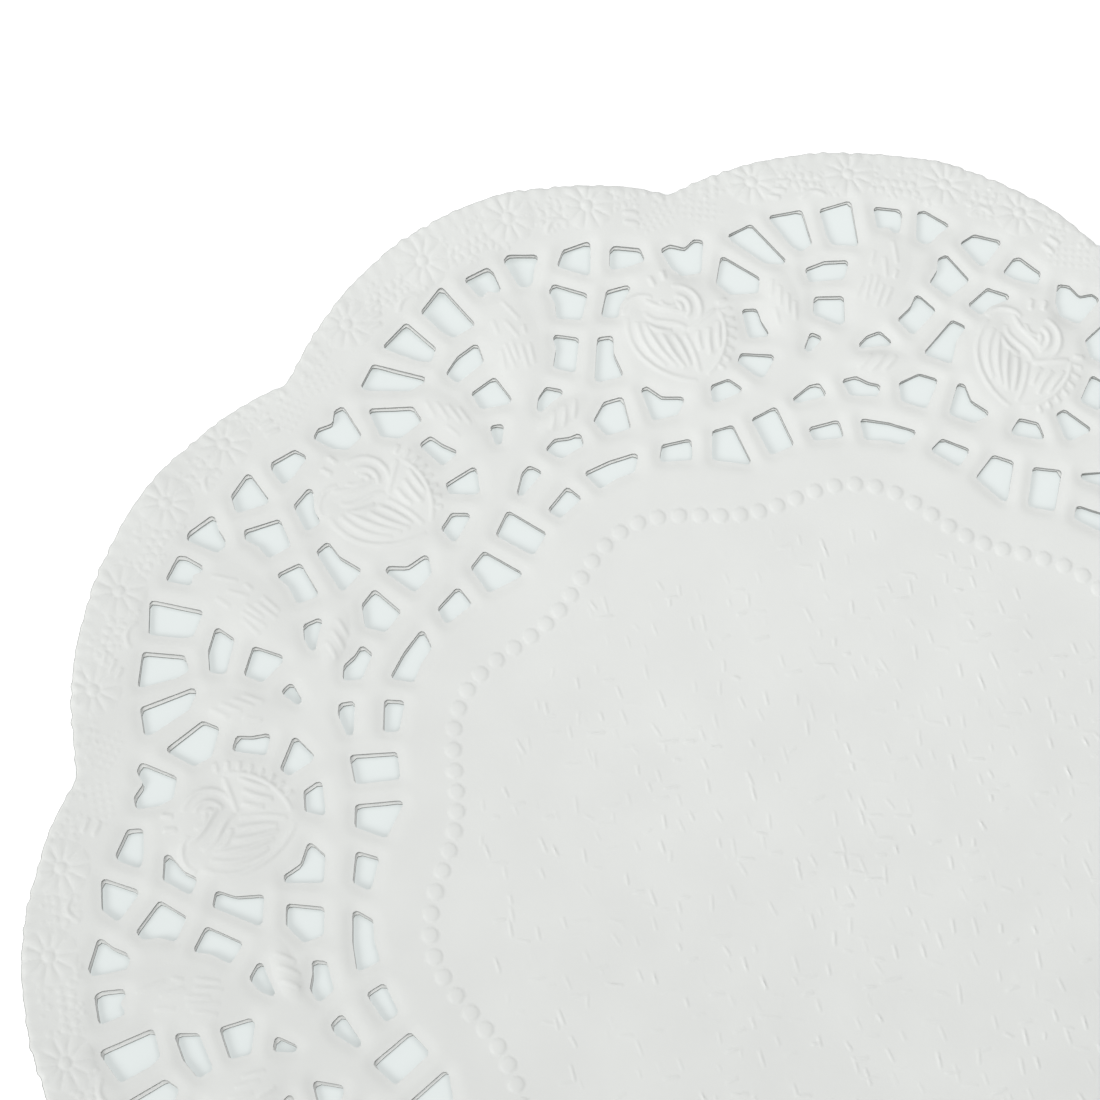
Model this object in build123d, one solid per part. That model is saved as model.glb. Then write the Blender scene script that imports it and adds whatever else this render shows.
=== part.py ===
from build123d import *
from math import atan2, cos, degrees, radians, sin, tan
import os

# Two round die-cut lace paper doilies, nested one on the other.
# Millimetres, +Z up, origin at the centre of the lower sheet's underside.
# +Y points through the middle of one scallop. Both sheets come from the same die.

# ---- driving dimensions -------------------------------------------------------------------

OUTER_DIAMETER = 237.2      # crest of a scallop to the crest opposite
SCALLOP_COUNT = 10
SCALLOP_DEPTH = 7.1         # crest radius less cusp radius
CUSP_FILLET = 1.5           # inside radius where two scallops meet
RIM_WIDTH = 9.3             # solid paper between a crest and the outermost opening
CORNER_RADIUS = 0.6         # corners of the punched openings
SHEET_LOFT = 0.7            # height that one embossed sheet takes up in a nested pair
NEST_GAP = 0.1              # air between the two nested sheets

# ---- the die's drawing --------------------------------------------------------------------
# One scallop's openings: x runs clockwise along the rim, y outwards from the centre.
# The outermost corner lies LACE_REACH from the centre, and the drawing is scaled to the rim.

LACE_REACH = 109.3

ROSE_NOTCH = [
    [(-35.1, 96.3), (-33.6, 97.4), (-31.2, 97.1), (-30.0, 98.8),
     (-28.4, 98.9), (-28.2, 93.1), (-31.3, 92.1), (-33.2, 93.4)],
]

FAN = [
    [(-25.4, 96.7), (-19.0, 93.6), (-18.9, 90.8), (-23.4, 89.9), (-25.8, 91.6)],
    [(-24.8, 100.2), (-21.1, 102.8), (-15.0, 97.1), (-15.4, 96.3), (-18.3, 96.1), (-23.8, 99.2)],
    [(-18.7, 104.5), (-13.2, 106.4), (-11.1, 100.5), (-12.9, 98.8), (-14.7, 99.9)],
    [(-10.5, 106.8), (-5.5, 109.15), (-3.7, 101.0), (-8.0, 100.7), (-9.0, 102.3)],
]

CREST_ROW = [
    [(-1.9, 108.5), (2.5, 108.5), (2.9, 107.3), (2.6, 104.2), (1.6, 104.1), (0.7, 105.1), (-1.0, 104.4)],
    [(5.2, 108.4), (6.4, 108.8), (10.8, 106.6), (8.8, 104.8), (7.6, 103.0), (6.5, 102.7), (5.3, 103.4)],
    [(12.2, 103.6), (14.5, 105.6), (19.2, 105.0), (16.4, 100.1), (15.6, 100.1)],
    [(19.3, 99.2), (21.0, 102.1), (22.0, 102.5), (25.5, 100.2), (25.2, 97.9), (21.5, 98.4)],
]

LEAF_SIDE = [
    [(-12.0, 96.0), (-9.0, 97.7), (-5.0, 98.4), (-5.7, 94.9), (-11.2, 93.7)],
    [(-10.2, 91.3), (-5.5, 92.0), (-5.0, 87.3), (-6.0, 86.9), (-10.1, 88.2)],
    [(-10.3, 85.2), (-8.1, 84.4), (-10.2, 81.5), (-11.1, 82.0)],
]

LATTICE = [
    [(3.1, 88.9), (5.1, 91.4), (5.9, 94.0), (9.3, 91.4), (5.8, 86.5)],
    [(7.8, 96.0), (8.9, 98.2), (9.0, 100.5), (10.3, 101.4), (14.3, 97.3), (11.1, 93.8)],
    [(14.0, 92.8), (17.1, 96.4), (21.7, 95.4), (17.7, 93.1), (16.4, 91.4)],
    [(7.5, 83.6), (11.8, 90.1), (14.2, 89.2), (12.7, 86.5), (12.2, 82.4)],
]

UNDER_LEAF = [
    [(-3.3, 83.0), (-1.4, 85.6), (0.6, 86.7), (3.3, 84.5), (0.3, 84.0)],
    [(-12.3, 73.3), (-9.8, 76.0), (-8.2, 76.6), (-6.8, 74.6), (-11.6, 72.6)],
    [(-4.9, 77.6), (-2.6, 78.5), (-0.5, 77.7), (1.5, 77.5), (0.9, 75.4), (-3.4, 75.1)],
    [(4.1, 78.2), (7.2, 80.2), (10.3, 79.6), (8.7, 74.3), (4.7, 75.1)],
]

UNDER_ROSE = [
    [(-21.4, 87.7), (-19.0, 88.1), (-18.1, 86.0), (-16.4, 83.6), (-19.9, 82.8)],
    [(-21.3, 78.4), (-20.9, 80.1), (-15.3, 80.5), (-16.9, 76.3), (-18.0, 76.4)],
    [(-25.1, 74.0), (-22.4, 75.5), (-19.6, 73.9), (-24.5, 70.8)],
    [(13.3, 79.3), (14.4, 79.3), (15.6, 76.6), (18.9, 74.8), (16.2, 72.8), (12.2, 73.8)],
]

INNER_RING = [
    [(-24.2, 66.4), (-21.1, 67.8), (-17.4, 61.4), (-23.8, 61.5)],
    [(-18.4, 69.1), (-14.7, 71.8), (-11.3, 65.6), (-14.9, 63.4)],
    [(-9.5, 68.8), (-4.8, 70.8), (-3.7, 67.9), (-8.4, 66.7)],
    [(-1.6, 71.5), (3.0, 71.3), (7.8, 70.4), (5.5, 67.8), (2.5, 68.2), (-0.6, 67.9)],
    [(9.6, 67.4), (11.4, 69.7), (16.0, 68.4), (14.3, 65.2)],
]

DIE = ROSE_NOTCH + FAN + CREST_ROW + LEAF_SIDE + LATTICE + UNDER_LEAF + UNDER_ROSE + INNER_RING

# ---- derived ------------------------------------------------------------------------------

crest_radius = OUTER_DIAMETER / 2
cusp_radius = crest_radius - SCALLOP_DEPTH
scallop_angle = 360 / SCALLOP_COUNT
lace_scale = (crest_radius - RIM_WIDTH) / LACE_REACH

os.makedirs("parts", exist_ok=True)


def turn_at(before, corner, after):
    """Angle in degrees by which an outline turns at a corner."""
    heading_in = atan2(corner.Y - before.Y, corner.X - before.X)
    heading_out = atan2(after.Y - corner.Y, after.X - corner.X)
    turn = abs(degrees(heading_out - heading_in)) % 360
    return min(turn, 360 - turn)


def corner_radii(corners):
    """The corner radius at each point, limited by the shorter of the two sides that meet there."""
    radii = []
    for i, corner in enumerate(corners):
        before = corners[i - 1]
        after = corners[(i + 1) % len(corners)]
        shorter = min((corner - before).length, (after - corner).length)
        half_turn = radians(turn_at(before, corner, after) / 2)
        radii.append(min(CORNER_RADIUS, 0.45 * shorter / tan(half_turn)))
    return radii


def opening_wire(points):
    """One punched opening as a closed outline with rounded corners."""
    corners = [Vector(x, y) * lace_scale for x, y in points]
    outline = FilletPolyline(*corners, radius=corner_radii(corners), close=True)
    return Wire(outline.edges())


def rim_wire():
    """The scalloped edge: one arc to a scallop, with the cusps between them rounded."""
    arcs = []
    for i in range(SCALLOP_COUNT):
        middle = 90 + i * scallop_angle
        ends = [radians(middle + side * scallop_angle / 2) for side in (-1, 1)]
        crest = (crest_radius * cos(radians(middle)), crest_radius * sin(radians(middle)))
        cusps = [(cusp_radius * cos(end), cusp_radius * sin(end)) for end in ends]
        arcs.append(ThreePointArc(cusps[0], crest, cusps[1]))
    blank = make_face(arcs)
    return fillet(blank.vertices(), CUSP_FILLET).face().outer_wire()


def lace_face():
    """The die-cut sheet: the scalloped blank less every scallop's openings."""
    punches = [opening_wire(points) for points in DIE]
    holes = [
        punch.rotate(Axis.Z, i * scallop_angle)
        for i in range(SCALLOP_COUNT)
        for punch in punches
    ]
    return Face(rim_wire(), holes)


def doily(height):
    """One sheet of the nested pair, with its underside at a height above the table."""
    sheet = Solid.extrude(lace_face(), Vector(0, 0, SHEET_LOFT))
    return sheet.translate(Vector(0, 0, height))


def write_node(name, solid):
    solid.label = name
    export_step(solid, os.path.join("parts", name + ".step"))
    print(name, "volume", round(solid.volume, 1), "mm3, area", round(solid.volume / SHEET_LOFT, 0), "mm2")


write_node("under_doily", doily(0))
write_node("top_doily", doily(SHEET_LOFT + NEST_GAP))
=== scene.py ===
import math

import bpy
import numpy as np
from mathutils import Matrix, Vector


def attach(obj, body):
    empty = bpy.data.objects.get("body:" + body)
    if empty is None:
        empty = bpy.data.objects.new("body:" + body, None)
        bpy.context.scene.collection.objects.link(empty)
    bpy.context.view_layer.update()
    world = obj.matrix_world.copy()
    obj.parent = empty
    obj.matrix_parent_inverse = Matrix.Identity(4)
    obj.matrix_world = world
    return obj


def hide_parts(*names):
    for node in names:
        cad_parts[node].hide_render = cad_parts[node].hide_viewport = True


# A nested pair of round lace paper doilies. The outlines come from the CAD sheets, and this
# script gives each sheet its embossed relief, its curl and its paper. Millimetres in the
# drawing of the relief, metres in Blender.

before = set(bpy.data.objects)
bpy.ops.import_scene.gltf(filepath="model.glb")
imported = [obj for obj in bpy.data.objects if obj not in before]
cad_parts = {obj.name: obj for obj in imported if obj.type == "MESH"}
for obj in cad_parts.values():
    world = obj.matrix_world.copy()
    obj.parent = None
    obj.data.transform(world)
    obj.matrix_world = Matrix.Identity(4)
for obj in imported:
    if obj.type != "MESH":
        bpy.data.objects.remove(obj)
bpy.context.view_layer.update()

MM = 0.001
SCALLOPS = 10
SCALLOP_ANGLE = 2 * math.pi / SCALLOPS

# ---- the paper ---------------------------------------------------------------------------
PAPER = 0.12                # thickness of the paper itself
TOP_PITCH = 0.46            # spacing of the top sheet's mesh, halved where its relief is lively
UNDER_PITCH = 0.8           # spacing of the under sheet's mesh
LIVELY = 0.035              # how much the relief varies across a triangle that is halved
BURR = 0.26                 # how much deeper the punched edge of an opening is turned down
BURR_WIDTH = 0.45
TOP_EDGE = 0.78             # height of the top sheet's cut edges above the table, before they
UNDER_EDGE = 0.34           # sway, droop at the lip or curl, and the same for the under sheet
TOP_SLIP = (0.08, -0.22)    # how far the top sheet lies out of line with the die
UNDER_SLIP = (0.30, -0.36)  # the same for the under sheet
UNDER_TURN = 0.002          # how far the under sheet is turned, in radians
UNDER_DRIFT = 0.08          # how much its slip varies from place to place
CUT_SLANT = (0.04, -0.02)   # how far a punched edge's underside stands out from its upper side
RIM_SLANT = 0.10            # the same at the scalloped edge, all round
TABLE_GAP = 0.02            # the least height of a sheet's underside above the table
SNAP = 0.32                 # how near an outline a point is moved onto it, as a share of the pitch
KEPT_COARSE = 0.3           # no triangle is halved this close to a cut edge
FADE_WIDTH = 0.5            # over what distance from a cut edge the embossing comes in
CREASE = 55                 # degrees between faces above which an edge is drawn sharp

# ---- relief shared by the whole sheet ------------------------------------------------------
SHOULDER = 0.42             # how far the paper drops towards an opening
SHOULDER_WIDTH = 1.6
SOFTENING = 1.2             # rounds of evening out that drop, times the mesh's spacing squared
LIP_DROP = 0.14             # how far it drops at the scalloped edge
LIP_WIDTH = 0.9
LOOKED_FOR = 4.0            # outlines are measured from this near
STRETCH = 16                # how many segments of the rim are measured at a time
TOLERANCE = 0.01            # what counts as on a cut edge, or on a sheet's upper face
PLEAT_HEIGHT = 0.07         # fine pleats that run in from the scalloped edge
PLEAT_WIDTH = 2.6

BEADS_PER_SCALLOP = 12
BEAD_RING = 58.2            # the bead row's mean radius
BEAD_WAVE = 2.1             # how far the row swings out under each scallop
BEAD_RADIUS = 1.2
BEAD_HEIGHT = 0.24
BEAD_FULLNESS = 0.5         # 1 is a parabola, and less is flatter on top

# ---- curl: azimuth and half width in degrees, then how far the rim of the top sheet lifts there
# and how far the under sheet's does, or sinks where the number is negative
LIFT_FROM = 98.0            # the radius at which a lobe starts to lift
CREST_RADIUS = 118.6
CURLS = [
    (126, 23, 3.0, 2.6), (20, 26, 0.9, 0.7), (236, 30, 1.4, 1.0), (300, 22, 0.8, 0.5),
    (93, 15, -0.8, -0.5), (172, 16, -0.6, -0.3),
]

# ---- the scallop's embossing, x clockwise along the rim, y outwards -------------------------
# Each ridge is a smooth curve through its points.
EMBOSSED_FROM = 50          # the radius at which the embossing of the scallops starts
RUN_ON = 0.8                # how far it reaches from a scallop's axis, as a share of its angle

ROSE_PETAL = [
    [(17.5, 90.6), (15.9, 85.6), (17.6, 80.2), (21.7, 76.2)],
    [(18.5, 89.2), (17.6, 85.0), (18.8, 80.6)],
    [(19.5, 88.6), (19.2, 84.4), (20.2, 79.6)],
    [(20.9, 85.8), (20.7, 82.6), (21.2, 78.8)],
    [(22.4, 84.8), (22.4, 82.0), (22.0, 78.8)],
    [(24.0, 84.0), (23.7, 81.0), (22.7, 77.2)],
]
ROSE_FOLDS = [
    [(20.3, 90.2), (21.5, 87.8), (23.9, 86.0), (24.8, 84.6)],
    [(19.7, 88.0), (20.8, 86.4), (22.6, 85.4)],
    [(21.5, 92.2), (23.0, 89.6), (24.6, 88.2), (26.2, 86.8)],
    [(23.4, 90.6), (24.2, 89.0), (25.4, 88.8)],
]
ROSE_CROWN = [
    [(17.2, 91.4), (18.7, 92.9), (20.9, 93.0), (22.6, 91.6)],
    [(24.0, 93.2), (24.2, 95.2)],
    [(26.0, 93.4), (26.5, 95.2)],
]
ROSE_CUP = [
    [(24.8, 84.2), (27.7, 84.8), (30.5, 85.3)],
    [(30.9, 85.2), (30.0, 81.4), (27.4, 78.2), (23.6, 76.4)],
    [(24.9, 80.2), (25.4, 82.0), (26.2, 83.4)],
    [(25.8, 78.8), (26.8, 81.2), (28.0, 83.0)],
    [(27.5, 79.0), (28.6, 81.2), (29.9, 83.2)],
]
BUD_CENTRE = (25.1, 88.3)
BUD_RADII = (0.8, 2.1, 3.9)
BUD_SPAN = (-75, 70)        # degrees from the first end of a bud's arc to the other

MIDDLE_LEAF = [
    [(-3.7, 91.8), (-2.5, 95.4)],
    [(-2.2, 91.3), (-1.5, 96.0)],
    [(-1.1, 92.4), (-0.4, 95.9)],
    [(-0.4, 90.5), (0.6, 94.6)],
    [(0.8, 90.7), (1.9, 94.2)],
    [(0.9, 95.8), (0.4, 99.4)],
    [(2.1, 95.8), (2.6, 97.4)],
    [(2.5, 98.4), (1.6, 102.6)],
    [(-1.7, 97.6), (-1.2, 100.4)],
]
LEFT_LEAF = [
    [(-17.0, 93.4), (-17.1, 90.2)],
    [(-15.7, 92.4), (-15.5, 88.8)],
    [(-14.4, 91.2), (-14.0, 87.6)],
    [(-13.1, 90.0), (-12.8, 86.6)],
    [(-16.3, 88.4), (-15.3, 85.6)],
]
SMALL_LEAF = [
    [(-2.4, 79.8), (-1.2, 81.2), (-0.5, 82.6)],
    [(-0.5, 79.4), (0.7, 81.0), (1.5, 82.6)],
    [(1.5, 79.7), (2.6, 81.2), (3.4, 82.6)],
]
RIM_LEAVES = [
    [(-18.9, 108.0), (-16.8, 107.9)],
    [(-18.5, 109.3), (-16.0, 109.4)],
    [(-17.8, 110.7), (-15.4, 111.2)],
    [(-13.6, 108.2), (-11.6, 109.8), (-9.4, 109.2)],
    [(13.4, 108.8), (15.2, 110.4), (17.4, 109.2)],
    [(26.2, 106.6), (28.2, 105.4)],
    [(25.4, 105.2), (27.4, 103.8)],
]
RIDGES = ROSE_PETAL + ROSE_FOLDS + ROSE_CROWN + ROSE_CUP + RIM_LEAVES
RIDGE_WIDTH = 0.40
RIDGE_HEIGHT = 0.24
VEINS = MIDDLE_LEAF + LEFT_LEAF + SMALL_LEAF
VEIN_WIDTH = 0.34
VEIN_HEIGHT = 0.14

# Rounded bodies under the ridges: from, to, half width.
PILLOWS = [
    ((17.2, 92.6), (22.2, 76.8), 3.3),
    ((23.4, 77.2), (31.4, 85.4), 3.6),
    ((19.6, 90.8), (31.0, 89.0), 4.6),
    ((-2.8, 87.0), (3.0, 104.2), 4.3),
    ((-16.8, 95.6), (-13.0, 83.0), 2.9),
    ((-4.8, 80.4), (5.8, 82.4), 2.0),
]
PILLOW_HEIGHT = 0.34
PILLOW_SOFTNESS = 1.5       # 1 is a parabola, and more runs out more gently

# Fine grain over the rim, between the cusps.
STIPPLES = 260
STIPPLE_BAND = (109.8, 116.4)
STIPPLE_REACH = 0.48        # how far each way from a scallop's axis, as a share of its angle
STIPPLE_RADII = (0.35, 0.6)
STIPPLE_HEIGHTS = (0.04, 0.12)

# Short rungs across a line, as on the border beside the rose's cup.
LADDER = [(32.0, 87.0), (31.3, 82.2), (28.9, 78.6), (25.4, 76.2)]
RUNGS = 8
RUNG_LENGTH = 1.7
RUNG_WIDTH = 0.34
RUNG_HEIGHT = 0.2

FRILL = 0.62                # how deep the frilled edge is cut
TRIM = 0.4                  # how far inside the die's outline it is cut, beside each crest
TRIM_TURN, TRIM_REACH = -0.12, 0.2      # the middle and half width of that, in radians
SPREAD = 0.22               # how far outside the outline the pressing has spread the paper

DAISIES = [(-21.6, 110.2), (-6.2, 113.8), (9.2, 113.9), (21.6, 110.3)]
DAISY_PETALS = 10
DAISY_RADIUS = 4.2
DAISY_BUTTON = (0.9, 0.24)  # radius and height
PETAL_START = 1.2           # distance of a petal's root from the daisy's centre
PETAL_HEIGHT = 0.19
GRAIN_ARCS = [(-17.4, -10.6), (-2.2, 5.0), (13.6, 18.6)]     # from x to x, beside the daisies
GRAIN_RINGS = (111.6, 113.1)
GRAIN_STEP = 1.4
GRAIN_STAGGER = 0.7
GRAIN_RADIUS = 0.62
GRAIN_HEIGHT = 0.13
NETS = [(-29.6, 103.9), (30.2, 103.2)]                       # fine net close to the cusps
NET_REACH = (5.4, 3.0)
NET_PITCH = 1.2
NET_EDGE = 1.4              # how sharply the net ends, 1 being a dome
NET_HEIGHT = 0.07

# ---- the woven look of the centre ------------------------------------------------------------
WEAVE_REACH = 53.0
WEAVE_ACROSS = (3.7, -0.4)
WEAVE_ALONG = (-1.0, -3.6)
STEEP_TICK = (0.95, -2.3)
LEVEL_TICK = (2.4, 0.6)
LEVEL_OFFSET = (2.0, -1.6)  # where a level tick lies from the steep tick beside it
LEVEL_SHARE = 0.6           # how many steep ticks have one
WEAVE_COUNT = 20            # rows each way from the middle
WEAVE_JITTER = 0.9
TICK_LENGTHS = (0.55, 1.05)
TICK_SWING = 0.33
TICK_FADE = (0.05, 1.0)     # a tick's strength is drawn from this, and raised to a power
TICK_FADE_POWER = 1.3
TICK_WIDTH = 0.17
TICK_HEIGHT = 0.18


# ---- outlines ----------------------------------------------------------------------------

def top_face_outlines(node):
    """The outlines of a flat CAD sheet's upper face in mm: the rim first, then its openings."""
    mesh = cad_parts[node].data
    mesh.calc_loop_triangles()
    places = np.empty(len(mesh.vertices) * 3, np.float32)
    mesh.vertices.foreach_get("co", places)
    places = places.reshape(-1, 3).astype(float) / MM
    triangles = np.empty(len(mesh.loop_triangles) * 3, np.int32)
    mesh.loop_triangles.foreach_get("vertices", triangles)
    _, first, same = np.unique(np.round(places, 3), axis=0, return_index=True, return_inverse=True)
    places = places[first]
    triangles = same.ravel()[triangles].reshape(-1, 3)
    upper = (places[triangles, 2] > places[:, 2].max() - TOLERANCE).all(axis=1)
    return loops_of(triangles[upper], places[:, :2])


def edges_of(triangles):
    """The three directed edges of every triangle."""
    return np.concatenate([triangles[:, [0, 1]], triangles[:, [1, 2]], triangles[:, [2, 0]]])


def border_of(triangles):
    """The directed edges that only one triangle has."""
    edges = edges_of(triangles).astype(np.int64)
    size = int(edges.max()) + 1
    there = edges[:, 0] * size + edges[:, 1]
    back = edges[:, 1] * size + edges[:, 0]
    return edges[~np.isin(there, back)]


def loops_of(triangles, places):
    """The closed outlines of a patch of triangles, widest first."""
    following = dict(border_of(triangles).tolist())
    loops = []
    while following:
        start, at = following.popitem()
        loop = [start]
        while at != start:
            loop.append(at)
            at = following.pop(at)
        loops.append(places[loop])
    return sorted(loops, key=lambda loop: -np.ptp(loop[:, 0]))


def nearest_on(points, starts, ends):
    """For each point: the nearest place on a chain of segments, and its distance."""
    along = ends - starts
    squares = (along ** 2).sum(axis=1)
    away = points[:, None] - starts[None]
    share = np.clip((away * along).sum(axis=2) / squares, 0, 1)
    feet = starts + share[..., None] * along
    gaps = np.linalg.norm(points[:, None] - feet, axis=2)
    pick = gaps.argmin(axis=1)
    rows = np.arange(len(points))
    return feet[rows, pick], gaps[rows, pick]


def inside(points, loop):
    """Whether each point is inside a closed outline, by counting crossings."""
    ends = np.roll(loop, -1, axis=0)
    x, y = points[:, :1], points[:, 1:]
    spans = (loop[:, 1] > y) != (ends[:, 1] > y)
    rise = np.where(ends[:, 1] == loop[:, 1], 1.0, ends[:, 1] - loop[:, 1])
    cross = loop[:, 0] + (y - loop[:, 1]) / rise * (ends[:, 0] - loop[:, 0])
    return (spans & (x < cross)).sum(axis=1) % 2 == 1


def box_of(points, low, high, margin):
    """The numbers of the points in a box."""
    fits = (points > low - margin) & (points < high + margin)
    return np.flatnonzero(fits[:, 0] & fits[:, 1])


def distances(points, outlines):
    """Each point's distance into the paper from the openings and from the rim, and the nearest
    place on an outline. Distances are negative where there is no paper."""
    to_opening = np.full(len(points), LOOKED_FOR)
    to_rim = np.full(len(points), LOOKED_FOR)
    feet = points.copy()
    rim, openings = outlines[0], outlines[1:]
    azimuth = np.arctan2(rim[:, 1], rim[:, 0])
    order = azimuth.argsort()
    reach = np.interp(
        np.arctan2(points[:, 1], points[:, 0]),
        azimuth[order], np.linalg.norm(rim, axis=1)[order], period=2 * math.pi,
    )
    blank = np.linalg.norm(points, axis=1) < reach
    ends = np.roll(rim, -1, axis=0)
    for first in range(0, len(rim), STRETCH):
        a, b = rim[first:first + STRETCH], ends[first:first + STRETCH]
        corners = np.concatenate([a, b])
        near = box_of(points, corners.min(axis=0), corners.max(axis=0), LOOKED_FOR)
        foot, gap = nearest_on(points[near], a, b)
        closer = gap < np.abs(to_rim[near])
        near, foot, gap = near[closer], foot[closer], gap[closer]
        to_rim[near] = gap
        feet[near] = foot
    best = to_rim.copy()
    bite = frill(feet)
    feet *= (1 - bite / np.maximum(np.linalg.norm(feet, axis=1), 1))[:, None]
    to_rim = np.where(blank, to_rim, -to_rim) - bite
    for loop in openings:
        near = box_of(points, loop.min(axis=0), loop.max(axis=0), LOOKED_FOR)
        foot, gap = nearest_on(points[near], loop, np.roll(loop, -1, axis=0))
        open_here = inside(points[near], loop)
        nearer = gap < best[near]
        feet[near[nearer]] = foot[nearer]
        best[near] = np.minimum(best[near], gap)
        signed = np.where(open_here, -gap, gap)
        to_opening[near] = np.minimum(to_opening[near], signed)
    return to_opening, to_rim, feet


def unit_turn(points):
    """Each point's angle from the axis of its own scallop, clockwise, in radians."""
    clockwise = math.pi / 2 - np.arctan2(points[:, 1], points[:, 0])
    return clockwise - np.round(clockwise / SCALLOP_ANGLE) * SCALLOP_ANGLE


def frill(points):
    """How far the frilled edge is cut back from the smooth scallop: by a fine wave that comes in
    patches, a slow wave, and the trimmed stretch beside each crest."""
    turn = unit_turn(points)
    azimuth = np.arctan2(points[:, 1], points[:, 0])
    wave = 0.5 - 0.3 * np.cos(turn * 240 + 3 * np.sin(azimuth * 9)) - 0.2 * np.cos(azimuth * 397)
    patches = 0.25 + 0.75 * np.cos(turn * 16 + 0.7) ** 2
    slow = 0.5 + 0.3 * np.sin(azimuth * 41) + 0.2 * np.sin(azimuth * 73 + 2)
    trimmed = np.clip(1 - ((turn - TRIM_TURN) / TRIM_REACH) ** 2, 0, 1)
    trimmed = trimmed * (1 - curl_share(points, CURLS[0]))
    return TRIM * trimmed - SPREAD + FRILL * (0.6 * wave * patches + 0.4 * slow)


# ---- the sheet's mesh -----------------------------------------------------------------------

def lattice(reach, pitch):
    """An even triangular grid over a square: its points and its triangles."""
    rise = pitch * math.sqrt(3) / 2
    rows = math.ceil(reach / rise) + 1
    columns = math.ceil(reach / pitch) + 1
    j, i = np.mgrid[-rows:rows + 1, -columns:columns + 1]
    points = np.stack([(i + 0.5 * (j % 2)) * pitch, j * rise], axis=-1).reshape(-1, 2)
    number = np.arange(len(points)).reshape(j.shape)
    a, b = number[:-1, :-1], number[:-1, 1:]
    c, d = number[1:, :-1], number[1:, 1:]
    level = (j[:-1, :-1] % 2 == 0)[..., None]
    one = np.where(level, np.stack([a, b, c], axis=-1), np.stack([a, d, c], axis=-1))
    two = np.where(level, np.stack([b, d, c], axis=-1), np.stack([a, b, d], axis=-1))
    return points, np.concatenate([one.reshape(-1, 3), two.reshape(-1, 3)])


def cut_to_outline(points, triangles, fields):
    """Cuts a grid along the line where fields[0], the distance into the paper, is 0.
    Returns the points, the triangles and every field at the points."""
    depth = fields[0]
    side = np.sign(depth)[triangles]
    paper = ((side >= 0).all(axis=1)) & (side.max(axis=1) > 0)
    mixed = triangles[(side.min(axis=1) < 0) & (side.max(axis=1) > 0)]
    sides = np.sign(depth)[mixed]
    edges = edges_of(mixed)
    crossing = np.sign(depth)[edges].prod(axis=1) < 0
    pairs = np.unique(np.sort(edges[crossing], axis=1), axis=0)
    share = depth[pairs[:, 0]] / (depth[pairs[:, 0]] - depth[pairs[:, 1]])

    def at_cuts(values):
        weight = share[:, None] if values.ndim > 1 else share
        return values[pairs[:, 0]] + weight * (values[pairs[:, 1]] - values[pairs[:, 0]])

    size = len(points)
    codes = pairs[:, 0].astype(np.int64) * size + pairs[:, 1]

    def cut(a, b):
        low, high = np.minimum(a, b).astype(np.int64), np.maximum(a, b)
        return size + np.searchsorted(codes, low * size + high)

    made = [triangles[paper]]
    for turn in range(3):
        v = np.roll(mixed, -turn, axis=1)
        s = np.roll(sides, -turn, axis=1)
        a, b, c = v.T
        sa, sb, sc = s.T
        one = (sa > 0) & (sb < 0) & (sc < 0)
        made.append(np.stack([a, cut(a, b), cut(a, c)], axis=1)[one])
        two = (sa < 0) & (sb > 0) & (sc > 0)
        made.append(np.stack([cut(a, b), b, c], axis=1)[two])
        made.append(np.stack([cut(a, b), c, cut(a, c)], axis=1)[two])
        left = (sa == 0) & (sb > 0) & (sc < 0)
        made.append(np.stack([a, b, cut(b, c)], axis=1)[left])
        right = (sa == 0) & (sb < 0) & (sc > 0)
        made.append(np.stack([a, cut(b, c), c], axis=1)[right])
    triangles = np.concatenate(made)
    points = np.concatenate([points, at_cuts(points)])
    fields = [np.concatenate([field, at_cuts(field)]) for field in fields]
    used, triangles = np.unique(triangles, return_inverse=True)
    return points[used], triangles.reshape(-1, 3), [field[used] for field in fields]


def flat_sheet(node, pitch):
    """A CAD sheet's flat pattern as an even mesh: its points, triangles, and each point's
    distance from the openings and from the rim."""
    outlines = top_face_outlines(node)
    reach = np.linalg.norm(outlines[0], axis=1).max()
    points, triangles = lattice(reach, pitch)
    near = np.linalg.norm(points, axis=1) < reach + 2 * pitch
    triangles = triangles[near[triangles].all(axis=1)]
    used, triangles = np.unique(triangles, return_inverse=True)
    points, triangles = points[used], triangles.reshape(-1, 3)
    to_opening, to_rim, feet = distances(points, outlines)
    depth = np.minimum(to_opening, to_rim)
    on_line = np.abs(depth) < SNAP * pitch
    points[on_line] = feet[on_line]
    for field in (to_opening, to_rim, depth):
        field[on_line & (np.abs(field) <= SNAP * pitch)] = 0
    points, triangles, fields = cut_to_outline(points, triangles, [depth, to_opening, to_rim])
    return points, triangles, np.maximum(fields[1], 0), np.maximum(fields[2], 0)


# ---- relief -----------------------------------------------------------------------------------

def smooth_step(share):
    """From 0 to 1, with no slope at either end."""
    share = np.clip(share, 0, 1)
    return share ** 2 * (3 - 2 * share)


def smooth_line(points, steps=10):
    """A smooth curve through 2 to 4 points, as a chain of short segments."""
    points = np.array(points, float)
    spans = np.linalg.norm(np.diff(points, axis=0), axis=1)
    at = np.concatenate([[0], np.cumsum(spans)]) / spans.sum()
    t = np.linspace(0, 1, steps)
    return np.stack([np.polyval(np.polyfit(at, points[:, k], len(points) - 1), t) for k in (0, 1)], axis=1)


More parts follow.
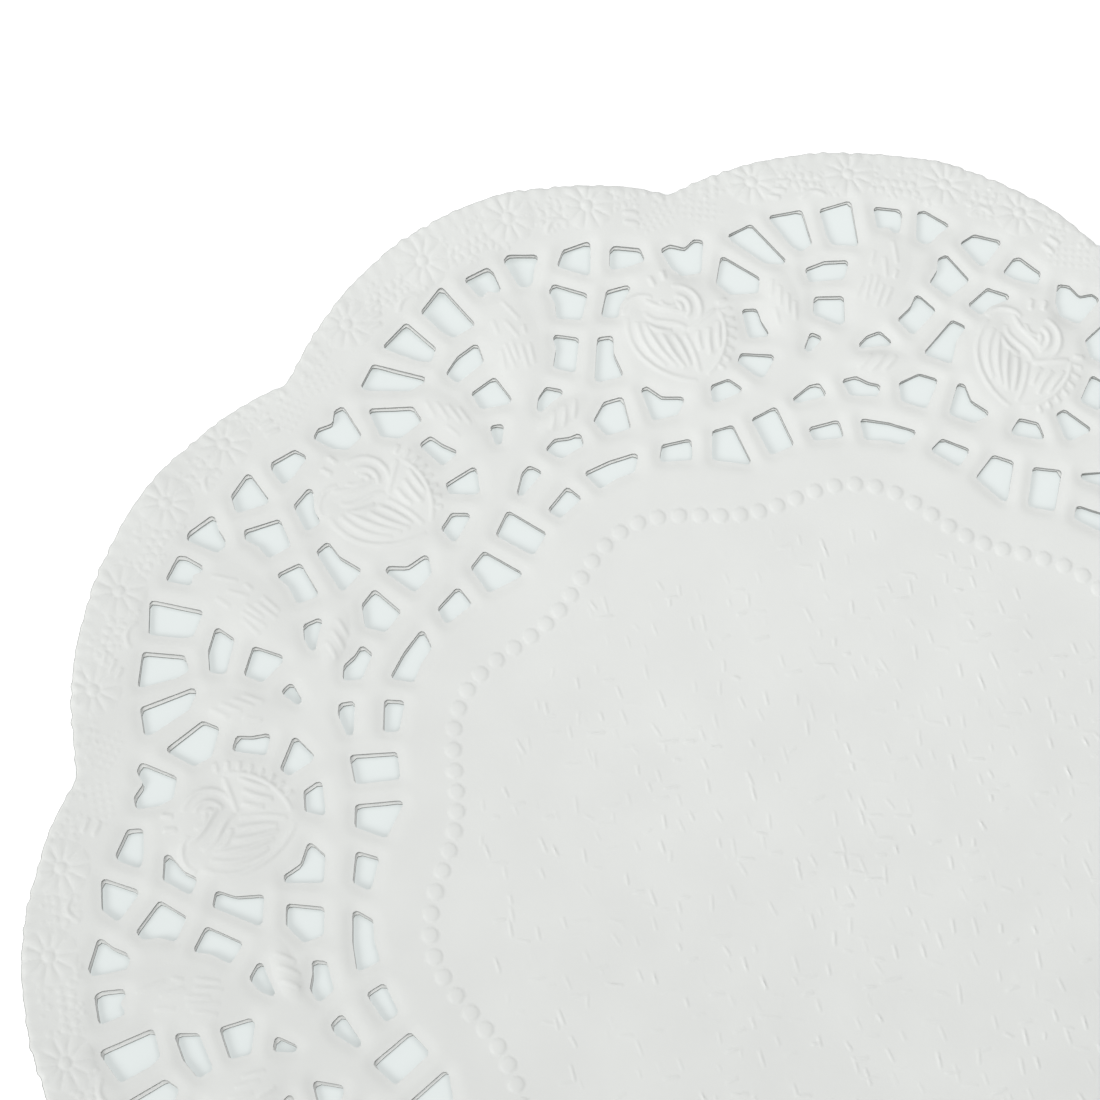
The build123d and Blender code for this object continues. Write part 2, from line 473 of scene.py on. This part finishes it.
def raise_ridge(height, places, line, width, tall):
    """Lays a ridge with tapered ends along a line, over whatever is lower."""
    near = box_of(places, line.min(axis=0), line.max(axis=0), 3 * width)
    if len(near) == 0:
        return
    starts, ends = line[:-1], line[1:]
    along = ends - starts
    away = places[near][:, None] - starts[None]
    share = np.clip((away * along).sum(axis=2) / (along ** 2).sum(axis=1), 0, 1)
    gaps = np.linalg.norm(away - share[..., None] * along, axis=2)
    pick = gaps.argmin(axis=1)
    rows = np.arange(len(near))
    travelled = (pick + share[rows, pick]) / len(along)
    taper = np.clip(np.sin(math.pi * travelled), 0, 1) ** 0.35
    made = tall * taper * np.exp(-(gaps[rows, pick] / width) ** 2)
    height[near] = np.maximum(height[near], made)


def raise_dome(height, places, centre, radius, tall, fullness=0.8):
    """Sets a round dome at a place. The smaller its fullness number, the flatter its top."""
    centre = np.array(centre)
    near = box_of(places, centre, centre, radius)
    share = np.clip(1 - ((places[near] - centre) ** 2).sum(axis=1) / radius ** 2, 0, 1)
    height[near] = np.maximum(height[near], tall * share ** fullness)


def raise_daisy(height, places, centre):
    """A flower of rounded petals round a button."""
    raise_dome(height, places, centre, *DAISY_BUTTON)
    centre = np.array(centre)
    near = box_of(places, centre, centre, DAISY_RADIUS)
    away = places[near] - centre
    out = np.linalg.norm(away, axis=1)
    ripple = np.abs(np.cos(DAISY_PETALS / 2 * np.arctan2(away[:, 1], away[:, 0]))) ** 0.7
    span = np.clip((out - PETAL_START) / (DAISY_RADIUS - PETAL_START), 0, 1)
    made = PETAL_HEIGHT * ripple * np.sin(math.pi * span ** 0.8) ** 0.6
    height[near] = np.maximum(height[near], made)


def raise_net(height, places, centre):
    """A patch of fine net: small knots in rows."""
    centre = np.array(centre)
    near = box_of(places, centre, centre, max(NET_REACH))
    away = places[near] - centre
    share = np.clip(NET_EDGE - ((away / NET_REACH) ** 2).sum(axis=1) * NET_EDGE, 0, 1)
    u = (away[:, 0] + away[:, 1]) / NET_PITCH
    v = (away[:, 0] - away[:, 1]) / NET_PITCH
    knots = np.clip(np.cos(math.pi * u) * np.cos(math.pi * v), 0, 1)
    height[near] = np.maximum(height[near], NET_HEIGHT * share * knots)


def pillows(places):
    """The rounded bodies of the petals and leaves."""
    height = np.zeros(len(places))
    for start, end, half_width in PILLOWS:
        start, end = np.array(start), np.array(end)
        middle, axis = (start + end) / 2, (end - start) / 2
        half_length = np.linalg.norm(axis)
        axis /= half_length
        away = places - middle
        along, across = away @ axis / half_length, (away @ (-axis[1], axis[0])) / half_width
        share = np.clip(1 - along ** 2 - across ** 2, 0, 1)
        height = np.maximum(height, PILLOW_HEIGHT * share ** PILLOW_SOFTNESS)
    return height


def raise_flowers(height, places):
    """The ridges of the rose and its leaves, the bud's arcs and the ladder beside the rose's cup."""
    for points in RIDGES:
        raise_ridge(height, places, smooth_line(points), RIDGE_WIDTH, RIDGE_HEIGHT)
    for points in VEINS:
        raise_ridge(height, places, smooth_line(points), VEIN_WIDTH, VEIN_HEIGHT)
    for radius in BUD_RADII:
        turn = np.radians(np.linspace(*BUD_SPAN, 10))
        arc = np.stack([np.cos(turn), np.sin(turn)], axis=1) * radius + BUD_CENTRE
        raise_ridge(height, places, arc, RIDGE_WIDTH, RIDGE_HEIGHT)
    border = smooth_line(LADDER, 2 * RUNGS + 1)
    for k in range(1, 2 * RUNGS, 2):
        ahead = border[k + 1] - border[k - 1]
        across = np.array([-ahead[1], ahead[0]]) / np.linalg.norm(ahead) * RUNG_LENGTH / 2
        rung = np.stack([border[k] - across, border[k] + across])
        raise_ridge(height, places, rung, RUNG_WIDTH, RUNG_HEIGHT)


def raise_rim(height, places):
    """The daisies, the grain and the fine net of the rim."""
    for centre in DAISIES:
        raise_daisy(height, places, centre)
    for start, end in GRAIN_ARCS:
        for row, ring in enumerate(GRAIN_RINGS):
            for x in np.arange(start + GRAIN_STAGGER * row, end, GRAIN_STEP):
                spot = (x, math.sqrt(ring ** 2 - x ** 2))
                raise_dome(height, places, spot, GRAIN_RADIUS, GRAIN_HEIGHT)
    rng = np.random.default_rng(3)
    for _ in range(STIPPLES):
        turn = rng.uniform(-STIPPLE_REACH, STIPPLE_REACH) * SCALLOP_ANGLE
        ring = rng.uniform(*STIPPLE_BAND)
        spot = (ring * math.sin(turn), ring * math.cos(turn))
        raise_dome(height, places, spot, rng.uniform(*STIPPLE_RADII), rng.uniform(*STIPPLE_HEIGHTS))
    for centre in NETS:
        raise_net(height, places, centre)


def raise_beads(height, places):
    """One scallop's share of the row of beads round the centre."""
    for k in range(BEADS_PER_SCALLOP):
        turn = ((k + 0.5) / BEADS_PER_SCALLOP - 0.5) * SCALLOP_ANGLE
        ring = BEAD_RING + BEAD_WAVE * math.cos(SCALLOPS * turn)
        spot = (ring * math.sin(turn), ring * math.cos(turn))
        raise_dome(height, places, spot, BEAD_RADIUS, BEAD_HEIGHT, BEAD_FULLNESS)


def scallop_embossing(places):
    """The height of one scallop's embossing at places in its own frame."""
    height = np.zeros(len(places))
    raise_flowers(height, places)
    raise_rim(height, places)
    raise_beads(height, places)
    return height + pillows(places)


def embossing(points):
    """The embossing of every scallop, which may run on into the next one."""
    height = np.zeros(len(points))
    radius = np.linalg.norm(points, axis=1)
    own = unit_turn(points)
    for neighbour in (-1, 0, 1):
        turn = own + neighbour * SCALLOP_ANGLE
        reached = np.flatnonzero((np.abs(turn) < RUN_ON * SCALLOP_ANGLE) & (radius > EMBOSSED_FROM))
        places = radius[reached, None] * np.stack([np.sin(turn[reached]), np.cos(turn[reached])], axis=1)
        height[reached] = np.maximum(height[reached], scallop_embossing(places))
    return height


def weave(points, width):
    """Short ticks in staggered rows, which make the centre look woven."""
    height = np.zeros(len(points))
    middle = np.flatnonzero(np.linalg.norm(points, axis=1) < WEAVE_REACH + 2)
    places, made = points[middle], np.zeros(len(middle))
    rng = np.random.default_rng(7)
    across, along = np.array(WEAVE_ACROSS), np.array(WEAVE_ALONG)
    rows = range(-WEAVE_COUNT, WEAVE_COUNT + 1)
    for i in rows:
        for j in rows:
            spot = i * across + j * along + rng.normal(0, WEAVE_JITTER, 2)
            strength = rng.uniform(*TICK_FADE, 2) ** TICK_FADE_POWER
            long = rng.uniform(*TICK_LENGTHS)
            swing = rng.normal(0, TICK_SWING, 2)
            level_too = rng.random() < LEVEL_SHARE
            if np.linalg.norm(spot) > WEAVE_REACH:
                continue
            for offset, tick, share, wanted in (
                ((0, 0), STEEP_TICK, strength[0], True),
                (LEVEL_OFFSET, LEVEL_TICK, strength[1], level_too),
            ):
                if wanted:
                    ends = np.array(offset) + spot + np.outer([-0.5, 0.5], long * np.array(tick) + swing)
                    raise_ridge(made, places, ends, width, TICK_HEIGHT * share)
    height[middle] = made
    return height


def sway(points):
    """The paper's slow unevenness: three swells of different length, one across another."""
    x, y = points.T
    return (
        0.16
        + 0.07 * np.sin(x / 11 + 0.7) * np.cos(y / 14)
        + 0.05 * np.sin((x + y) / 8.5 + 2.0)
        + 0.03 * np.sin((x - 0.6 * y) / 5.3)
    )


def curl_share(points, curl):
    """How much of a curl reaches each point's azimuth, from 0 to 1."""
    azimuth = np.degrees(np.arctan2(points[:, 1], points[:, 0]))
    away = np.clip(np.abs((azimuth - curl[0] + 180) % 360 - 180) / curl[1], 0, 1)
    return (1 - away ** 2) ** 2


def lift(points, which):
    """How far the lobes of a sheet curl up."""
    radius = np.linalg.norm(points, axis=1)
    out = np.clip((radius - LIFT_FROM) / (CREST_RADIUS - LIFT_FROM), 0, None) ** 1.8
    return sum(curl[2 + which] * out * curl_share(points, curl) for curl in CURLS)


def softened(values, triangles, rounds):
    """A height over a mesh, evened out by averaging it with its neighbours'."""
    one = np.concatenate([triangles, np.roll(triangles, -1, axis=1)]).ravel()
    other = np.concatenate([np.roll(triangles, -1, axis=1), triangles]).ravel()
    neighbours = np.bincount(one, minlength=len(values))
    for _ in range(rounds):
        total = np.bincount(one, weights=values[other], minlength=len(values))
        values = (values + total / neighbours) / 2
    return values


def halve(triangles, chosen, size):
    """Splits every edge of the chosen triangles in two. Returns the new triangles, and for each
    new point the two points that it is halfway between."""
    after = np.roll(triangles, -1, axis=1)
    codes = np.minimum(triangles, after).astype(np.int64) * size + np.maximum(triangles, after)
    split = np.unique(codes[chosen])
    marked = np.isin(codes, split)
    middle = size + np.searchsorted(split, codes)
    made = [triangles[~marked.any(axis=1)]]
    for turn in range(3):
        a, b, c = np.roll(triangles, -turn, axis=1).T
        ab, bc, ca = np.roll(middle, -turn, axis=1).T
        on_ab, on_bc, on_ca = np.roll(marked, -turn, axis=1).T
        one = on_ab & ~on_bc & ~on_ca
        two = on_ab & on_bc & ~on_ca
        three = on_ab & on_bc & on_ca
        for corners, kind in (
            ((a, ab, c), one), ((ab, b, c), one),
            ((ab, b, bc), two), ((a, ab, bc), two), ((a, bc, c), two),
            ((a, ab, ca), three),
        ):
            made.append(np.stack(corners, axis=1)[kind])
    made.append(middle[marked.all(axis=1)])
    return np.concatenate(made), np.stack(np.divmod(split, size), axis=1)


def pleats(points, rim):
    """Fine pleats that run in from the scalloped edge."""
    azimuth = np.arctan2(points[:, 1], points[:, 0])
    wave = np.sin(azimuth * 330 + 3 * np.sin(azimuth * 17))
    return PLEAT_HEIGHT * wave * np.clip(1 - rim / PLEAT_WIDTH, 0, 1)


def slipped(points, slip, which):
    """Where a sheet's points lie: out of line with the die, and the under sheet turned as well."""
    drift = np.stack([np.sin(points[:, 1] / 7 + 1), np.sin(points[:, 0] / 5)], axis=1)
    turned = np.stack([-points[:, 1], points[:, 0]], axis=1)
    return points + slip + which * UNDER_DRIFT * drift + which * UNDER_TURN * turned


def two_skins(name, upper, fine, lower, coarse, border):
    """A closed mesh of an upper and a lower skin, with a wall along each border edge."""
    first = len(upper)
    walls = np.stack([border[:, 1], border[:, 0], border[:, 0] + first, border[:, 1] + first], axis=1)
    skins = np.concatenate([fine, coarse[:, ::-1] + first])
    corners = np.concatenate([skins.ravel(), walls.ravel()])
    counts = np.concatenate([np.full(len(skins), 3), np.full(len(walls), 4)])
    # the walls take the second material, the paper darkened as painted shade
    slots = np.concatenate([np.zeros(len(skins)), np.ones(len(walls))])
    mesh = bpy.data.meshes.new(name)
    mesh.vertices.add(first + len(lower))
    mesh.vertices.foreach_set("co", (np.concatenate([upper, lower]) * MM).astype(np.float32).ravel())
    mesh.loops.add(len(corners))
    mesh.loops.foreach_set("vertex_index", corners.astype(np.int32))
    mesh.polygons.add(len(counts))
    mesh.polygons.foreach_set("loop_start", (np.cumsum(counts) - counts).astype(np.int32))
    mesh.polygons.foreach_set("material_index", slots.astype(np.int32))
    mesh.update(calc_edges=True)
    mesh.validate()
    mesh.set_sharp_from_angle(angle=math.radians(CREASE))
    piece = bpy.data.objects.new(name, mesh)
    bpy.context.scene.collection.objects.link(piece)
    return piece


def doily(name, node, pitch, edge_height, slip, which):
    """One embossed sheet, the top one if which is 0 and the under one if it is 1. Its upper skin
    has extra points, each halfway between two others, where the relief is lively."""
    points, triangles, to_opening, to_rim = flat_sheet(node, pitch)
    size = len(points)
    inner = np.minimum(to_opening, to_rim) > KEPT_COARSE
    stamped = embossing(points)
    guide = stamped + weave(points, 2 * TICK_WIDTH)
    lively = np.zeros(size, bool)
    lively[triangles[np.ptp(guide[triangles], axis=1) > LIVELY]] = True
    fine, halves = halve(triangles, (lively & inner)[triangles].all(axis=1), size)

    def with_middles(values):
        return np.concatenate([values, values[halves].mean(axis=1)])

    shoulder = SHOULDER * smooth_step(to_opening / SHOULDER_WIDTH)
    shoulder = with_middles(softened(shoulder, triangles, round(SOFTENING / pitch ** 2)))
    middles = points[halves].mean(axis=1)
    stamped = np.concatenate([stamped, embossing(middles)])
    spots = np.concatenate([points, middles])
    opening, rim = with_middles(to_opening), with_middles(to_rim)
    fade = np.clip(np.minimum(opening, rim) / FADE_WIDTH, 0, 1)
    lip = LIP_DROP * np.clip(1 - rim / LIP_WIDTH, 0, 1) ** 2
    height = edge_height + shoulder - lip + pleats(spots, rim) + stamped * fade
    height = height + sway(spots) + lift(spots, which)
    height = np.maximum(height, PAPER + TABLE_GAP)
    spots = slipped(spots, slip, which)
    upper = np.column_stack([spots, height + weave(spots, TICK_WIDTH) * fade])

    border = border_of(triangles)
    burr = BURR * np.clip(1 - to_opening / BURR_WIDTH, 0, 1) ** 2
    below = np.maximum(height[:size] - PAPER - burr, TABLE_GAP)
    lower = np.column_stack([spots[:size], below])
    at_rim = border[(to_rim[border] < TOLERANCE).all(axis=1), 0]
    at_opening = np.setdiff1d(border[:, 0], at_rim)
    lower[at_opening, :2] += CUT_SLANT
    lower[at_rim, :2] *= 1 + RIM_SLANT / CREST_RADIUS
    return two_skins(name, upper, fine, lower, triangles, border)


# ---- materials -------------------------------------------------------------------------------

PAPER_TONES = [(0.725, 0.738, 0.72), (0.755, 0.77, 0.75)]
EDGE_PAINTED_SHADE = 0.46           # the tone of the cut edges, as a share of the paper's: painted shade for the shadowed gaps under and between the sheets
PAINTED_SHADE_END = (0.1094, 0.1104)     # from where to where, in metres from the middle, the painted shade under the doily fades out
# the table's tones, which it also glows with as painted light: darker and faintly blue under the doily as
# painted shade, then plain pale
TABLE_SHADE_AND_GLOW_TONES = [(0.400, 0.424, 0.420), (0.64, 0.64, 0.64)]


def node_material(name):
    """An empty node material: its nodes, a function that links sockets, and its main shader."""
    material = bpy.data.materials.new(name)
    material.use_nodes = True
    nodes = material.node_tree.nodes
    return material, nodes, material.node_tree.links.new, nodes["Principled BSDF"]


def paper_material(name, shade):
    """Matt white paper, pressed smooth: faint clouds in its colour and a fine fibre grain. Its colour is
    multiplied by shade, which makes the darker copy that paints shade on the cut edges.
    """
    material, nodes, link, shader = node_material(name)
    place = nodes.new("ShaderNodeTexCoord")
    clouds = nodes.new("ShaderNodeTexNoise")
    clouds.inputs["Scale"].default_value = 90
    clouds.inputs["Detail"].default_value = 4
    tone = nodes.new("ShaderNodeValToRGB")
    for stop, position, colour in zip(tone.color_ramp.elements, (0.3, 0.7), PAPER_TONES):
        stop.position = position
        stop.color = (*(channel * shade for channel in colour), 1)
    fibres = nodes.new("ShaderNodeTexNoise")
    fibres.inputs["Scale"].default_value = 1700
    fibres.inputs["Detail"].default_value = 3
    fibres.inputs["Distortion"].default_value = 0.6
    bump = nodes.new("ShaderNodeBump")
    bump.inputs["Strength"].default_value = 0.25
    bump.inputs["Distance"].default_value = 0.00004
    link(place.outputs["Object"], clouds.inputs["Vector"])
    link(place.outputs["Object"], fibres.inputs["Vector"])
    link(clouds.outputs["Fac"], tone.inputs["Fac"])
    link(tone.outputs["Color"], shader.inputs["Base Color"])
    link(fibres.outputs["Fac"], bump.inputs["Height"])
    link(bump.outputs["Normal"], shader.inputs["Normal"])
    shader.inputs["Roughness"].default_value = 0.55
    shader.inputs["Specular IOR Level"].default_value = 0.35
    return material


def floor_material():
    """A pale table that glows as painted light, evening out the shade under the sheets, and is darker and
    faintly blue where the doily lies, as painted shade.
    """
    material, nodes, link, shader = node_material("table")
    place = nodes.new("ShaderNodeTexCoord")
    away = nodes.new("ShaderNodeVectorMath")
    away.operation = "LENGTH"
    tone = nodes.new("ShaderNodeValToRGB")
    for stop, position, colour in zip(tone.color_ramp.elements, PAINTED_SHADE_END, TABLE_SHADE_AND_GLOW_TONES):
        stop.position = position
        stop.color = (*colour, 1)
    link(place.outputs["Object"], away.inputs[0])
    link(away.outputs["Value"], tone.inputs["Fac"])
    link(tone.outputs["Color"], shader.inputs["Base Color"])
    # painted light: the table glows in its own tones
    link(tone.outputs["Color"], shader.inputs["Emission Color"])
    shader.inputs["Emission Strength"].default_value = 1.0
    shader.inputs["Roughness"].default_value = 0.7
    shader.inputs["Specular IOR Level"].default_value = 0.2
    return material


# ---- the pieces ------------------------------------------------------------------------------

FLOOR_SIZE = 40             # metres, so that its edge is out of view from low angles too

# the second paper is the same paper darkened as painted shade, for the walls of the cut edges
papers = [paper_material("white_paper", 1.0), paper_material("cut_edge_painted_shade", EDGE_PAINTED_SHADE)]
top = doily("top_sheet", "top_doily", TOP_PITCH, TOP_EDGE, TOP_SLIP, 0)
under = doily("under_sheet", "under_doily", UNDER_PITCH, UNDER_EDGE, UNDER_SLIP, 1)
for piece, node, beneath in ((top, "top_doily", "under_sheet"), (under, "under_doily", "floor")):
    for paper in papers:
        piece.data.materials.append(paper)
    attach(piece, node)
    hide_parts(node)

bpy.ops.mesh.primitive_plane_add(size=FLOOR_SIZE, location=(0, 0, 0))
floor = bpy.context.object
floor.name = "floor"
floor.data.materials.append(floor_material())

# ---- camera and light --------------------------------------------------------------------------

AIM = Vector((-46.87, 43.93, 0)) * MM
AZIMUTH, ELEVATION, ROLL = (math.radians(angle) for angle in (-1.41, 69.57, 8.03))
DISTANCE = 414.9 * MM
LENS = 89.45


def towards(azimuth, elevation):
    """The direction from the object to something that stands at these angles."""
    flat = math.cos(elevation)
    return Vector((math.sin(azimuth) * flat, -math.cos(azimuth) * flat, math.sin(elevation)))


back = towards(AZIMUTH, ELEVATION)
level = Vector((0, 0, 1)).cross(back).normalized()
upright = back.cross(level)
right = math.cos(ROLL) * level + math.sin(ROLL) * upright
camera = bpy.data.objects.new("camera", bpy.data.cameras.new("camera"))
camera.data.sensor_width = 36
camera.data.lens = LENS
camera.data.clip_start = 0.01
camera.matrix_world = Matrix.Translation(AIM + DISTANCE * back) @ Matrix(
    (right, back.cross(right), back)
).transposed().to_4x4()
bpy.context.scene.collection.objects.link(camera)
bpy.context.scene.camera = camera

KEY_AZIMUTH, KEY_ELEVATION, KEY_DISTANCE = math.radians(-50), math.radians(38), 6
OVERHEAD = (0.0, 0.13, 0.32)
WORLD_STRENGTH = 0.45


def area_light(name, at, size, power):
    """A round soft light that points at the middle of the view."""
    lamp = bpy.data.lights.new(name, "AREA")
    lamp.shape = "DISK"
    lamp.size = size
    lamp.energy = power
    holder = bpy.data.objects.new(name, lamp)
    holder.location = at
    holder.rotation_mode = "QUATERNION"
    holder.rotation_quaternion = (Vector(at) - AIM).to_track_quat("Z", "Y")
    bpy.context.scene.collection.objects.link(holder)


area_light("key", AIM + towards(KEY_AZIMUTH, KEY_ELEVATION) * KEY_DISTANCE, size=3.0, power=190)
area_light("overhead", OVERHEAD, size=0.25, power=0.354)

world = bpy.data.worlds.new("studio")
world.use_nodes = True
world.node_tree.nodes["Background"].inputs["Color"].default_value = (1, 1, 1, 1)
world.node_tree.nodes["Background"].inputs["Strength"].default_value = WORLD_STRENGTH
bpy.context.scene.world = world
bpy.context.scene.view_settings.view_transform = "Standard"
